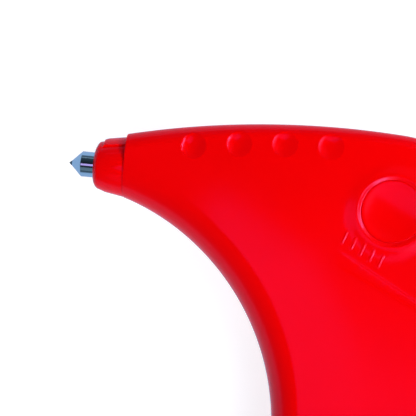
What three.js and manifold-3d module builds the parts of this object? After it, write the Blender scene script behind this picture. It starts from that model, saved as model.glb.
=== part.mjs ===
// Pistol-shaped linocut carving tool lying on its right side.
// The cutting bit points along -X, the grip runs along -Y, and +Z is out of the left side.
// Every piece is drawn with the bit's tip at (0, 0, 0) and the parting plane of the two
// shells at z = 0. The finished group is moved so that the origin is under its middle.
import * as THREE from 'three';
import { LoftGeometry } from 'three/addons/geometries/LoftGeometry.js';
import { mergeVertices } from 'three/addons/utils/BufferGeometryUtils.js';
import Module from 'manifold-3d';

const wasm = await Module();
wasm.setup();

// ---- driving dimensions, millimetres and degrees ----

const GAP = 0.3;                    // clearance between neighbouring pieces
const WALL = 2.2;                   // wall of the moulded shells
const PARTING = 0.05;               // half the parting line between the shells

const SHANK_R = 2.4;                // 3/16 inch rod
const SHANK_END_X = 67.5;
const CONE_BASE_X = 2.35;           // the cone's sides meet at 90 degrees
const POINT_R = 0.45;

const NOSE_X = 11;                  // front of the shells
const NOSE_HALF_THICKNESS = 5.8;
const BODY_HALF_THICKNESS = 11;
const BUTT_Y = -85;
const CAP_HEIGHT = 6;
const TOP_EDGE = { x: 51.1, y: -163, r: 174.1 };
const BACK_X = 85;
const BACK_CORNER_R = 24;
const FRONT_EDGE = { x: -1.9, y: -48.8, r: 45.1 };
const FRONT_EDGE_START = 73.4;       // angle of the front edge's arc at the nose
const FULL_THICKNESS_AT = 0.35;     // share of the way from nose to butt

const DIMPLE = { firstX: 24, pitch: 8.5, count: 4, r: 2.4, belowTop: 3.75, depth: 0.5 };
const BUTTON = { x: 61.8, y: -3.4, r: 5.45, travel: 2, dish: 0.5, flangeR: 6.5 };
const BUTTON_RING = { innerR: 5.75, outerR: 6.4, height: 0.5 };
const BAND = [[51.2, -10.3], [72, -21.3], [73.4, -23.6], [52.7, -14.5]];
const BAND_DEPTH = 0.1;

const COLLAR_FRONT_X = 4.95;
const COLLAR_BACK_X = 10.8;
const SPIGOT_R = 4.5;
const SPIGOT_END_X = 14.8;
const PAD_HALF_ANGLE = 49;
const PAD_HEIGHT = 0.4;

const COLLET = { startX: 7.4, endX: 24, innerR: 2.65, outerR: 3.3, slots: 3 };
const SLEEVE = { startX: 16, endX: 30, innerR: 3.6, outerR: 4.5, flangeX: 24.4, flangeR: 5.5 };
const LOCK_PLATE = { x: 61, thickness: 1.5, bottom: -4.2, top: 7.3, low: -6.5, high: 4.5 };
const THRUST_BLOCK = { x: 66.2, length: 5.5, halfY: 5.5, halfZ: 4.9 };

const SCREW = { headR: 2.5, headHeight: 1.8, shaftR: 1.4, length: 12, bossR: 3 };
const SHELL_SCREWS = [              // x, y and the height of the head's bearing face
  [33, -8.5, -5.6], [76, -3, -7.2], [50.5, -26, -6.8], [78, -27, -7.2], [49.4, -72, -6.2],
];

const TRAY = { frontX: 55, backX: 76.8, innerY: -32, halfZ: 6.2, floor: 1.6, wall: 1.2 };
const TRAY_RIB_Y = [-67, -41];
const SPARE_BIT = { length: 36, headY: -37, z: -1.7, x: [60.1, 65.9, 71.7] };
const CAP_SCREW_X = [59.5, 72.3];
const CAP_SCREW = { headR: 2, headHeight: 1.4, shaftR: 1.1, length: 7 };

// ---- turning three.js geometry into closed solids and back ----

const VERTEX_MERGE = 1e-4;
const ROUNDING = 1e4;               // steps in a millimetre, so that level faces meet exactly

function cleaned(geometry) {
  const bare = new THREE.BufferGeometry();
  bare.setAttribute('position', geometry.getAttribute('position'));
  bare.setIndex(geometry.index);
  const merged = mergeVertices(bare, VERTEX_MERGE);
  const position = merged.getAttribute('position');
  const corners = [0, 1, 2].map(() => new THREE.Vector3());
  const kept = [];
  let volume = 0;
  for (let i = 0; i < merged.index.count; i += 3) {
    const triangle = [0, 1, 2].map((k) => merged.index.getX(i + k));
    if (new Set(triangle).size === 3) {
      kept.push(...triangle);
      corners.forEach((corner, k) => corner.fromBufferAttribute(position, triangle[k]));
      volume += corners[0].dot(corners[1].clone().cross(corners[2]));
    }
  }
  merged.setIndex(volume < 0 ? kept.reverse() : kept);
  return merged;
}

function solid(geometry) {
  const closed = cleaned(geometry);
  return new wasm.Manifold(new wasm.Mesh({
    numProp: 3,
    vertProperties: closed.getAttribute('position').array
      .map((value) => Math.round(value * ROUNDING) / ROUNDING),
    triVerts: new Uint32Array(closed.index.array),
  }));
}

function geometryOf(manifold) {
  const mesh = manifold.getMesh();
  const geometry = new THREE.BufferGeometry();
  geometry.setAttribute('position', new THREE.BufferAttribute(mesh.vertProperties, 3));
  geometry.setIndex(new THREE.BufferAttribute(mesh.triVerts, 1));
  return geometry;
}

// ---- simple shapes used by more than one piece ----

function block(x0, x1, y0, y1, z0, z1) {
  const box = new THREE.BoxGeometry(x1 - x0, y1 - y0, z1 - z0);
  return box.translate((x0 + x1) / 2, (y0 + y1) / 2, (z0 + z1) / 2);
}

// A turned shape about the X axis: profile points are [x, radius].
function turned(profile, sides = 24) {
  const points = profile.map(([x, r]) => new THREE.Vector2(r, x));
  return new THREE.LatheGeometry(points, sides).rotateZ(-Math.PI / 2);
}

function rod(x0, x1, r, sides = 20) {
  return turned([[x0, 0], [x0, r], [x1, r], [x1, 0]], sides);
}

// A cylinder along Z.
function post(x, y, z0, z1, r, sides = 20) {
  const cylinder = new THREE.CylinderGeometry(r, r, z1 - z0, sides).rotateX(Math.PI / 2);
  return cylinder.translate(x, y, (z0 + z1) / 2);
}

function extruded(points, z0, z1) {
  const shape = new THREE.Shape(points.map(([x, y]) => new THREE.Vector2(x, y)));
  const options = { depth: z1 - z0, bevelEnabled: false };
  return new THREE.ExtrudeGeometry(shape, options).translate(0, 0, z0);
}

// ---- the body's outline and its lofted volume ----

const DEGREE = Math.PI / 180;

function outerEdge() {
  const cornerX = BACK_X - BACK_CORNER_R;
  const reach = TOP_EDGE.r - BACK_CORNER_R;
  const cornerY = TOP_EDGE.y + Math.sqrt(reach ** 2 - (cornerX - TOP_EDGE.x) ** 2);
  const tangent = Math.atan2(cornerY - TOP_EDGE.y, cornerX - TOP_EDGE.x);
  const start = Math.acos((NOSE_X - TOP_EDGE.x) / TOP_EDGE.r);
  const path = new THREE.Path();
  path.absarc(TOP_EDGE.x, TOP_EDGE.y, TOP_EDGE.r, start, tangent, true);
  path.absarc(cornerX, cornerY, BACK_CORNER_R, tangent, 0, true);
  path.lineTo(BACK_X, BUTT_Y);
  return path;
}

function innerEdge() {
  const path = new THREE.Path();
  path.absarc(FRONT_EDGE.x, FRONT_EDGE.y, FRONT_EDGE.r, FRONT_EDGE_START * DEGREE, 0, true);
  path.lineTo(FRONT_EDGE.x + FRONT_EDGE.r, BUTT_Y);
  return path;
}

const OUTER_EDGE = outerEdge();
const INNER_EDGE = innerEdge();

function topY(x) {
  return TOP_EDGE.y + Math.sqrt(TOP_EDGE.r ** 2 - (x - TOP_EDGE.x) ** 2);
}

const NOSE_FRONT_FILLET = 5.7;      // nearly the whole half width under the nose
const NOSE_TOP_FILLET = 3.2;        // and much less along its top
const FRONT_FILLET = 6.6;           // rounding along the finger side of the grip
const TOP_FILLET = 2.5;             // rounding along the top and the back
const FRONT_CROWN = { depth: 0.9, width: 20 };
const TOP_CROWN = { depth: 0.4, width: 10 };
const BUTT_ROUNDING = 3;
const SECTION_ARC_STEPS = 3;

// One cross-section of the body at a share t of the way from nose to butt, made smaller by
// inset all round: a flat middle, a slight crown towards both edges, and rounded edges.
function bodySection(t, inset) {
  const inner = INNER_EDGE.getPointAt(t);
  const outer = OUTER_EDGE.getPointAt(t);
  const width = inner.distanceTo(outer) - 2 * inset;
  const across = outer.clone().sub(inner).normalize();
  inner.addScaledVector(across, inset);
  const grown = Math.sin(Math.min(t / FULL_THICKNESS_AT, 1) * Math.PI / 2);
  const mix = (from, to) => from + (to - from) * grown;
  const half = mix(NOSE_HALF_THICKNESS, BODY_HALF_THICKNESS) - inset;
  const fromButt = Math.max(0, BUTT_ROUNDING - INNER_EDGE.getLength() * (1 - t));
  const pull = BUTT_ROUNDING - Math.sqrt(BUTT_ROUNDING ** 2 - fromButt ** 2);
  const frontFillet = mix(NOSE_FRONT_FILLET, FRONT_FILLET) - inset;
  const topFillet = mix(NOSE_TOP_FILLET, TOP_FILLET) - inset;
  const rise = [];
  const addArc = (edgeDistance, radius, crown, sign) => {
    const crownWidth = Math.min(crown.width, 0.45 * width);
    const spots = [];
    for (let i = 0; i <= SECTION_ARC_STEPS; i++) {
      const angle = (i / SECTION_ARC_STEPS) * Math.PI / 2;
      spots.push([radius * (1 - Math.cos(angle)), half - radius * (1 - Math.sin(angle))]);
    }
    spots.push([Math.max((radius + crownWidth) / 2, radius + 0.02), half]);
    spots.push([Math.max(crownWidth, radius + 0.04), half]);
    const placed = spots.map(([d, z]) => {
      const drop = crown.depth * grown * Math.max(0, 1 - d / crownWidth) ** 2;
      return [edgeDistance + sign * (d + pull), z - drop - pull];
    });
    rise.push(...(sign > 0 ? placed : placed.reverse()));
  };
  addArc(0, frontFillet, FRONT_CROWN, 1);
  addArc(width, topFillet, TOP_CROWN, -1);
  const ring = [];
  const place = (d, z) => {
    const at = inner.clone().addScaledVector(across, d);
    ring.push(new THREE.Vector3(at.x, at.y, z));
  };
  rise.forEach(([d, z]) => place(d, z));
  [...rise].reverse().forEach(([d, z]) => place(d, -z));
  return ring;
}

function stations(from, to, count) {
  return Array.from({ length: count + 1 }, (_, i) => from + (to - from) * i / count);
}

// A ring drawn in to its own middle, which closes the end of a loft.
function closingRing(ring) {
  const middle = new THREE.Vector3();
  ring.forEach((point) => middle.addScaledVector(point, 1 / ring.length));
  return ring.map(() => middle.clone());
}

function bodyVolume(shares, inset) {
  const rings = shares.map((t) => bodySection(t, inset));
  const first = closingRing(rings[0]);
  const last = closingRing(rings[rings.length - 1]);
  return solid(new LoftGeometry([first, ...rings, last]));
}

const CAVITY_START = 0.1;           // share at which the shells become hollow
const BUTT_SHARES = [0.972, 0.985, 0.994, 1];
const BODY = bodyVolume([...stations(0, 0.6, 14), ...BUTT_SHARES], 0);
const CAVITY_END = 0.965;
const CAVITY_SHARES = [...stations(CAVITY_START, 0.6, 9), CAVITY_END];
const CAVITY = bodyVolume(CAVITY_SHARES, WALL);
const INNER_SKIN = bodyVolume([CAVITY_START / 2, ...CAVITY_SHARES], WALL / 2);
const CAP_TOP_Y = BUTT_Y + CAP_HEIGHT;

// ---- the two shells ----

const SIDE = { left: 1, right: -1 };

// A block between two heights on one side of the parting plane.
function sideBlock(side, x0, x1, y0, y1, z0, z1) {
  const low = Math.min(side * z0, side * z1);
  const high = Math.max(side * z0, side * z1);
  return solid(block(x0, x1, y0, y1, low, high));
}

function sidePost(side, x, y, z0, z1, r, sides) {
  const low = Math.min(side * z0, side * z1);
  const high = Math.max(side * z0, side * z1);
  return solid(post(x, y, low, high, r, sides));
}

const FAR = 20;                     // further out than any surface of the body
const RIBS = [
  { x0: 26.8, x1: 28.4, y0: -12, y1: 9 },
  { x0: 44, x1: 45.6, y0: -10, y1: 9 },
  { x0: 64.6, x1: 65.9, y0: -8, y1: 9 },
  { x0: 72, x1: 73.5, y0: -8, y1: 9 },
];
const TRAY_RAILS = [
  { x0: TRAY.frontX - GAP - 1.6, x1: TRAY.frontX - GAP, y0: -78, y1: -33 },
  { x0: TRAY.backX + GAP, x1: TRAY.backX + GAP + 1.4, y0: -78, y1: -62 },
  { x0: TRAY.backX + GAP, x1: TRAY.backX + GAP + 1.4, y0: -42, y1: -33 },
];

function dimples(side) {
  const cuts = [];
  for (let i = 0; i < DIMPLE.count; i++) {
    const x = DIMPLE.firstX + DIMPLE.pitch * i;
    const y = topY(x) - DIMPLE.belowTop;
    const share = (x - NOSE_X) / OUTER_EDGE.getLength();
    const grown = Math.sin(Math.min(share / FULL_THICKNESS_AT, 1) * Math.PI / 2);
    const surface = NOSE_HALF_THICKNESS + (BODY_HALF_THICKNESS - NOSE_HALF_THICKNESS) * grown;
    cuts.push(sidePost(side, x, y, surface - DIMPLE.depth, FAR, DIMPLE.r, 16));
  }
  return cuts;
}

function joined(solids) {
  return solids.reduce((sum, next) => sum.add(next));
}

// The inner ribs, tray rails and screw bosses of one shell, kept inside its outer skin.
function insideFeatures(side) {
  const features = [
    ...RIBS.map((rib) => sideBlock(side, rib.x0, rib.x1, rib.y0, rib.y1, PARTING, FAR)),
    ...TRAY_RAILS.map((rail) => sideBlock(side, rail.x0, rail.x1, rail.y0, rail.y1, 1, FAR)),
    ...SHELL_SCREWS.map(([x, y]) => sidePost(side, x, y, PARTING, FAR, SCREW.bossR, 16)),
  ];
  return joined(features).intersect(INNER_SKIN);
}

function shellBlank(side) {
  const half = sideBlock(side, 0, BACK_X + 1, BUTT_Y - 1, 20, PARTING, FAR);
  const aboveCap = sideBlock(side, 0, BACK_X + 1, CAP_TOP_Y + GAP, 20, -FAR, FAR);
  return BODY.intersect(half).intersect(aboveCap).subtract(CAVITY).add(insideFeatures(side));
}

// Room for the bit, the sleeve, the collar's spigot and the thrust block.
function centreRoom() {
  const { x, length, halfY, halfZ } = THRUST_BLOCK;
  return joined([
    solid(rod(0, SHANK_END_X + GAP, SHANK_R + GAP)),
    solid(rod(0, SPIGOT_END_X + GAP, SPIGOT_R + GAP)),
    solid(rod(SPIGOT_END_X, SLEEVE.endX + GAP, SLEEVE.outerR + GAP)),
    solid(rod(SLEEVE.flangeX - GAP, SLEEVE.flangeX + 2 + GAP, SLEEVE.flangeR + GAP)),
    solid(block(x - GAP, x + length + GAP, -halfY - GAP, halfY + GAP, -halfZ - GAP, halfZ + GAP)),
  ]);
}

const CENTRE_ROOM = centreRoom();

function leftShell() {
  const top = BODY_HALF_THICKNESS;
  const ring = solid(post(BUTTON.x, BUTTON.y, top - 1, top + BUTTON_RING.height,
    BUTTON_RING.outerR, 32));
  const buttonHole = solid(post(BUTTON.x, BUTTON.y, 5, FAR, BUTTON_RING.innerR, 32));
  const flangeRoom = solid(post(BUTTON.x, BUTTON.y, 4.9, top - WALL, BUTTON.flangeR + GAP, 24));
  const band = solid(extruded(BAND, top - BAND_DEPTH, FAR));
  const pilots = SHELL_SCREWS.map(([x, y, headZ]) => (
    solid(post(x, y, -1, headZ + SCREW.length + GAP, SCREW.shaftR + GAP, 12))));
  const cuts = joined([...dimples(SIDE.left), ...pilots, band, buttonHole, flangeRoom,
    CENTRE_ROOM]);
  return shellBlank(SIDE.left).add(ring).subtract(cuts);
}

function rightShell() {
  const holes = SHELL_SCREWS.flatMap(([x, y, headZ]) => [
    solid(post(x, y, -FAR, headZ + GAP, SCREW.headR + GAP, 16)),
    solid(post(x, y, -FAR, 1, SCREW.shaftR + GAP, 12)),
  ]);
  const cuts = joined([...dimples(SIDE.right), ...holes, CENTRE_ROOM]);
  return shellBlank(SIDE.right).subtract(cuts);
}

// ---- the nose: collar, O-ring, clip, collet and sleeve ----

const O_RING = { x: 13, r: 0.38, centreR: 4.35, seatR: 3.95 };
const CLIP = { x: 15.4, r: 0.3, centreR: 3.55, openAngle: 60 };

function noseCollar() {
  const profile = [
    [COLLAR_FRONT_X, SHANK_R + GAP], [5.3, 4], [5.75, 4.4], [6.4, 4.6], [7.4, 4.95],
    [COLLAR_BACK_X, 5.5], [COLLAR_BACK_X, SPIGOT_R],
    [O_RING.x - 0.6, SPIGOT_R], [O_RING.x - 0.6, O_RING.seatR], [O_RING.x + 0.6, O_RING.seatR],
    [O_RING.x + 0.6, SPIGOT_R], [SPIGOT_END_X, SPIGOT_R], [SPIGOT_END_X, COLLET.outerR + GAP],
    [COLLET.startX - GAP, COLLET.outerR + GAP], [COLLET.startX - GAP, SHANK_R + GAP],
    [COLLAR_FRONT_X, SHANK_R + GAP],
  ];
  const pad = solid(turned([
    [6.5, 4.2], [6.5, 4.7 + PAD_HEIGHT], [7.4, 4.95 + PAD_HEIGHT],
    [COLLAR_BACK_X - 0.2, 5.5 + PAD_HEIGHT], [COLLAR_BACK_X - 0.2, 4.2], [6.5, 4.2],
  ], 32));
  const reach = 12;
  const side = reach * Math.tan(PAD_HALF_ANGLE * DEGREE);
  const wedge = new THREE.Shape([
    new THREE.Vector2(0, 0), new THREE.Vector2(side, reach), new THREE.Vector2(-side, reach),
  ]);
  const sector = new THREE.ExtrudeGeometry(wedge, { depth: 14, bevelEnabled: false });
  return solid(turned(profile, 32)).add(pad.intersect(solid(sector.rotateY(Math.PI / 2))));
}

function oRing() {
  const ring = new THREE.TorusGeometry(O_RING.centreR, O_RING.r, 6, 24);
  return cleaned(ring.rotateY(Math.PI / 2).translate(O_RING.x, 0, 0));
}

function collarClip() {
  const arc = (360 - CLIP.openAngle) * DEGREE;
  const curve = new THREE.CatmullRomCurve3(stations(0, arc, 16).map((angle) => (
    new THREE.Vector3(CLIP.x, CLIP.centreR * Math.cos(angle), CLIP.centreR * Math.sin(angle)))));
  return cleaned(wire(curve, CLIP.r, 20, 6));
}

// A round wire along a curve, closed at both ends.
function wire(curve, radius, steps, sides) {
  const section = new THREE.Shape();
  stations(0, 1, sides).slice(0, sides).forEach((share, i) => {
    const angle = share * 2 * Math.PI;
    const point = [radius * Math.cos(angle), radius * Math.sin(angle)];
    if (i === 0) {
      section.moveTo(...point);
    } else {
      section.lineTo(...point);
    }
  });
  return new THREE.ExtrudeGeometry(section, { steps, extrudePath: curve, bevelEnabled: false });
}

function collet() {
  const clipGroove = CLIP.centreR - CLIP.r - 0.1;
  const body = solid(turned([
    [COLLET.startX, COLLET.innerR], [COLLET.startX, 2.95], [8.2, COLLET.outerR],
    [CLIP.x - 0.4, COLLET.outerR], [CLIP.x - 0.4, clipGroove], [CLIP.x + 0.4, clipGroove],
    [CLIP.x + 0.4, COLLET.outerR], [COLLET.endX, COLLET.outerR],
    [COLLET.endX, COLLET.innerR], [COLLET.startX, COLLET.innerR],
  ], 24));
  const slots = stations(0, 360, COLLET.slots).slice(0, COLLET.slots).map((angle) => (
    solid(block(0, 20, 0, 6, -0.4, 0.4).rotateX((angle + 15) * DEGREE))));
  return body.subtract(joined(slots));
}

function colletSleeve() {
  const { startX, endX, innerR, outerR, flangeX, flangeR } = SLEEVE;
  const profile = [
    [startX, innerR], [startX, outerR], [flangeX, outerR], [flangeX, flangeR],
    [flangeX + 2, flangeR], [flangeX + 2, outerR], [endX, outerR],
    [endX, SHANK_R + GAP], [COLLET.endX + GAP, SHANK_R + GAP],
    [COLLET.endX + GAP, innerR], [startX, innerR],
  ];
  return cleaned(turned(profile, 24));
}

// ---- the bit ----

function bitProfile(pointHoleX, coneBase, endX, grooveX) {
  return [
    [pointHoleX, 0], [pointHoleX, POINT_R + 0.05], [POINT_R + 0.1, POINT_R + 0.05],
    [coneBase, coneBase - 0.03], [coneBase + 2.6, SHANK_R],
    [grooveX, SHANK_R], [grooveX + 0.4, SHANK_R - 0.5],
    [grooveX + 1.5, SHANK_R - 0.5], [grooveX + 1.9, SHANK_R],
    [endX - 0.5, SHANK_R], [endX, SHANK_R - 0.5], [endX, 0],
  ];
}

function bitShank() {
  return cleaned(turned(bitProfile(3.6, CONE_BASE_X, SHANK_END_X, LOCK_PLATE.x - 0.2), 24));
}

function carbidePoint() {
  return cleaned(turned([[0, 0], [POINT_R, POINT_R], [3.5, POINT_R], [3.5, 0]], 16));
}

// ---- the thumb button and its lock ----

function thumbButton() {
  const top = BODY_HALF_THICKNESS;
  const flangeTop = top - WALL - GAP;
  const points = [[0, flangeTop - 1.2], [BUTTON.flangeR, flangeTop - 1.2]];
  points.push([BUTTON.flangeR, flangeTop], [BUTTON.r, flangeTop], [BUTTON.r, top]);
  stations(0, 1, 4).forEach((share) => {
    const r = (BUTTON.r - 0.3) * (1 - share);
    points.push([r, top + 0.25 - BUTTON.dish * share * (2 - share)]);
  });
  const profile = points.map(([r, z]) => new THREE.Vector2(Math.max(r, 0), z));
  profile[profile.length - 1].x = 0;
  const lathe = new THREE.LatheGeometry(profile, 28).rotateX(Math.PI / 2);
  return cleaned(lathe.translate(BUTTON.x, BUTTON.y, 0));
}

// A plate across the bit with an oblong slot, tall enough for the bit at both ends of travel.
function lockPlate() {
  const { x, thickness, bottom, top, low, high } = LOCK_PLATE;
  const plate = solid(block(x, x + thickness, low, high, bottom, top));
  const slotR = SHANK_R + GAP;
  const slot = joined([
    solid(rod(x - 1, x + thickness + 1, slotR)),
    solid(rod(x - 1, x + thickness + 1, slotR).translate(0, 0, BUTTON.travel)),
    solid(block(x - 1, x + thickness + 1, -slotR, slotR, 0, BUTTON.travel)),
  ]);
  return plate.subtract(slot);
}

const SPRING = { r: 1.5, wireR: 0.2, turns: 3, low: -7.95 };

function buttonSpring() {
  const x = LOCK_PLATE.x + LOCK_PLATE.thickness / 2;
  const low = SPRING.low + SPRING.wireR;
  const high = LOCK_PLATE.bottom - GAP - SPRING.wireR;
  const steps = Math.round(SPRING.turns * 8);
  const curve = new THREE.CatmullRomCurve3(stations(0, 1, steps).map((share) => {
    const angle = share * SPRING.turns * 2 * Math.PI;
    return new THREE.Vector3(x + SPRING.r * Math.cos(angle), SPRING.r * Math.sin(angle),
      low + share * (high - low));
  }));
  return cleaned(wire(curve, SPRING.wireR, steps, 6));
}

function springSeat() {
  const x = LOCK_PLATE.x + LOCK_PLATE.thickness / 2;
  const low = -BODY_HALF_THICKNESS + WALL + GAP;
  const cup = solid(post(x, 0, low, low + 1.4, SPRING.r + 1, 24));
  const room = solid(post(x, 0, SPRING.low - GAP / 2, low + 3, SPRING.r + 0.55, 24));
  return cup.subtract(room);
}

function thrustBlock() {
  const { x, length, halfY, halfZ } = THRUST_BLOCK;
  const body = solid(block(x, x + length, -halfY, halfY, -halfZ, halfZ));
  return body.subtract(solid(rod(x - 1, SHANK_END_X + 1.2, SHANK_R + GAP, 24)));
}

function thrustPad() {
  return cleaned(rod(SHANK_END_X + 0.2, SHANK_END_X + 0.9, SHANK_R, 20));
}

// ---- fasteners ----

function shellScrew(x, y, headZ) {
  const { headR, headHeight, shaftR, length } = SCREW;
  const head = solid(post(x, y, headZ - headHeight, headZ, headR, 16));
  const shaft = solid(post(x, y, headZ - 0.1, headZ + length, shaftR, 12));
  const low = headZ - headHeight - 1;
  const cross = joined([
    solid(block(x - 1.5, x + 1.5, y - 0.35, y + 0.35, low, low + 1.9)),
    solid(block(x - 0.35, x + 0.35, y - 1.5, y + 1.5, low, low + 1.9)),
  ]);
  return head.add(shaft).subtract(cross);
}

// A cylinder along Y from its low end.
function rodAlongY(x, y0, y1, z, r, sides = 16) {
  const cylinder = new THREE.CylinderGeometry(r, r, y1 - y0, sides);
  return cylinder.translate(x, (y0 + y1) / 2, z);
}

const CAP_SCREW_HEAD_Y = BUTT_Y + 1;
const CAP_SCREW_Z = 0;

function trayScrew(x) {
  const { headR, headHeight, shaftR, length } = CAP_SCREW;
  const base = CAP_SCREW_HEAD_Y;
  const head = solid(rodAlongY(x, base, base + headHeight, CAP_SCREW_Z, headR));
  const shaft = solid(rodAlongY(x, base + 0.5, base + headHeight + length, CAP_SCREW_Z, shaftR, 12));
  const slot = solid(block(x - 3, x + 3, base - 1, base + 0.6, -0.3, 0.3));
  return head.add(shaft).subtract(slot);
}

// ---- spare-bit storage in the grip ----

function buttCap() {
  const slab = solid(block(0, BACK_X + 1, BUTT_Y - 1, CAP_TOP_Y, -FAR, FAR));
  const holes = CAP_SCREW_X.flatMap((x) => [
    solid(rodAlongY(x, BUTT_Y - 1, CAP_SCREW_HEAD_Y + CAP_SCREW.headHeight + GAP, 0,
      CAP_SCREW.headR + GAP)),
    solid(rodAlongY(x, BUTT_Y - 1, CAP_TOP_Y + 1, 0, CAP_SCREW.shaftR + GAP, 12)),
  ]);
  return BODY.intersect(slab).subtract(joined(holes));
}

function bitTray() {
  const { frontX, backX, innerY, halfZ, floor, wall } = TRAY;
  const endY = CAP_TOP_Y + GAP;
  const endWall = 4;
  const shell = joined([
    solid(block(frontX, backX, endY, innerY, -halfZ, -halfZ + floor)),
    solid(block(frontX, frontX + wall, endY, innerY, -halfZ, halfZ - 3)),
    solid(block(backX - wall, backX, endY, innerY, -halfZ, halfZ - 3)),
    solid(block(frontX, backX, endY, endY + endWall, -halfZ, halfZ - 3)),
    solid(block(frontX, backX, innerY - wall, innerY, -halfZ, halfZ - 3)),
    ...TRAY_RIB_Y.map((y) => solid(block(frontX, backX, y, y + 2, -halfZ, SPARE_BIT.z + 0.8))),
  ]);
  const rests = SPARE_BIT.x.map((x) => (
    solid(rodAlongY(x, TRAY_RIB_Y[0] - 1, TRAY_RIB_Y[1] + 3, SPARE_BIT.z, SHANK_R + GAP, 20))));
  const holes = CAP_SCREW_X.map((x) => (
    solid(rodAlongY(x, endY - 1, endY + endWall + 1, 0, CAP_SCREW.shaftR + GAP, 12))));
  return shell.subtract(joined([...rests, ...holes]));
}

function spareBit(x) {
  const { length, headY, z } = SPARE_BIT;
  const profile = [
    [0, 0], [SHANK_R, SHANK_R], [length - 0.5, SHANK_R], [length, SHANK_R - 0.5], [length, 0],
  ];
  return cleaned(turned(profile, 20).rotateZ(-Math.PI / 2).translate(x, headY, z));
}

// A bent strip whose hump presses on the tray's back side wall.
function traySpring() {
  const thickness = 0.4;
  const backX = BACK_X - WALL - GAP - 0.4;
  const humpX = TRAY.backX + GAP;
  const outer = [[backX, -60], [backX, -58.5], [humpX, -52.6], [humpX, -51.4], [backX, -45.5]];
  const inner = outer.map(([x, y]) => [x + thickness, y]).reverse();
  inner[0] = [backX + thickness, -45.5];
  return cleaned(extruded([...outer, [backX, -44], [backX + thickness, -44], ...inner], -3, 3));
}

// ---- colours and the assembly ----

const RED_PLASTIC = { color: 0xe60a10, roughness: 0.35, metalness: 0 };
const STEEL = { color: 0xb4bcc4, roughness: 0.2, metalness: 1 };
const SPRING_STEEL = { color: 0x8a8f94, roughness: 0.35, metalness: 1 };
const CARBIDE = { color: 0x33363a, roughness: 0.4, metalness: 0.8 };
const BRASS = { color: 0xc2a04a, roughness: 0.3, metalness: 1 };
const RUBBER = { color: 0x1a1a1a, roughness: 0.8, metalness: 0 };
const DARK_PLASTIC = { color: 0x2b2b2e, roughness: 0.55, metalness: 0 };

const tool = new THREE.Group();

function add(name, shape, look) {
  const geometry = shape.isBufferGeometry ? shape : geometryOf(shape);
  const mesh = new THREE.Mesh(geometry, new THREE.MeshStandardMaterial(look));
  mesh.name = name;
  tool.add(mesh);
}

add('left_shell', leftShell(), RED_PLASTIC);
add('right_shell', rightShell(), RED_PLASTIC);
add('nose_collar', noseCollar(), RED_PLASTIC);
add('collar_o_ring', oRing(), RUBBER);
add('collar_clip', collarClip(), SPRING_STEEL);
add('collet', collet(), STEEL);
add('collet_sleeve', colletSleeve(), BRASS);
add('bit_shank', bitShank(), STEEL);
add('carbide_point', carbidePoint(), CARBIDE);
add('thumb_button', thumbButton(), RED_PLASTIC);
add('lock_plate', lockPlate(), STEEL);
add('button_spring', buttonSpring(), SPRING_STEEL);
add('spring_seat', springSeat(), DARK_PLASTIC);
add('thrust_block', thrustBlock(), BRASS);
add('thrust_pad', thrustPad(), SPRING_STEEL);
SHELL_SCREWS.forEach((place, i) => add(`shell_screw_${i + 1}`, shellScrew(...place), STEEL));
add('bit_tray', bitTray(), DARK_PLASTIC);
add('butt_cap', buttCap(), RED_PLASTIC);
CAP_SCREW_X.forEach((x, i) => add(`tray_screw_${i + 1}`, trayScrew(x), STEEL));
SPARE_BIT.x.forEach((x, i) => add(`spare_bit_${i + 1}`, spareBit(x), STEEL));
add('tray_spring', traySpring(), SPRING_STEEL);

const box = new THREE.Box3().setFromObject(tool);
const middle = box.getCenter(new THREE.Vector3());
tool.position.set(-middle.x, -middle.y, -box.min.z);

export default tool;
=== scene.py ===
import math
from math import cos, pi, radians, sin, sqrt

import bpy
from mathutils import Matrix, Vector


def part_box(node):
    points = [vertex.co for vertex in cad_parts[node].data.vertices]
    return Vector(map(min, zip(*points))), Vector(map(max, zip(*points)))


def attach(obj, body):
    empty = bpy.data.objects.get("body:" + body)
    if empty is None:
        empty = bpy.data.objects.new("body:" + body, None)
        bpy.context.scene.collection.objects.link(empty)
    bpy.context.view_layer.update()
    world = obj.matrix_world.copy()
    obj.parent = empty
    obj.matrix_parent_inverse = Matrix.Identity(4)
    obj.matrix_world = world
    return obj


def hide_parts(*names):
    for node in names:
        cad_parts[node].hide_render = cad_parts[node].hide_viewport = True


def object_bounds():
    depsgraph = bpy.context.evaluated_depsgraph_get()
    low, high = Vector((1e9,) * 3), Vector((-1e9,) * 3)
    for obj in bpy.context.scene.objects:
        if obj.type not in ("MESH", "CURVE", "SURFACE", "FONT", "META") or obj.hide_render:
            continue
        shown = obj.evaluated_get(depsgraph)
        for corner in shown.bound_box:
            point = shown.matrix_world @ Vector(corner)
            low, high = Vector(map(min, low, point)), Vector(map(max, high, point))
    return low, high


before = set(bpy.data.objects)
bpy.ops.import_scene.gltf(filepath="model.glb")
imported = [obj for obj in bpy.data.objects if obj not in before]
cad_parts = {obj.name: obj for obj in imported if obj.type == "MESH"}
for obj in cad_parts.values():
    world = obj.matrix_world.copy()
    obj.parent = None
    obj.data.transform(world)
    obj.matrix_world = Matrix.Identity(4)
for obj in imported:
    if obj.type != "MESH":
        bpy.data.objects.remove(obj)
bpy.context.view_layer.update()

# The carving tool lies on its right side, put together in the order of a bench: the right
# shell first, then what goes in it, then the left shell, the screws, and the tray last.

# ---- right shell ----
# The half that the tool lies on, moulded in red ABS with a smooth satin-gloss skin. Its
# outline bends from the round nose into the grip; the rim meets the left shell on the
# middle plane, and five counterbored holes take the screws.

MM = 0.001
TIP = Vector((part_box("carbide_point")[0][0],
              sum(corner[1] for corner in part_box("bit_shank")) / 2,
              sum(corner[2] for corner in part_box("bit_shank")) / 2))


def at(x, y, z):
    """A place in the frame from millimetres behind, above and to the left of the bit's tip."""
    return TIP + Vector((x, y, z)) * MM


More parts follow.
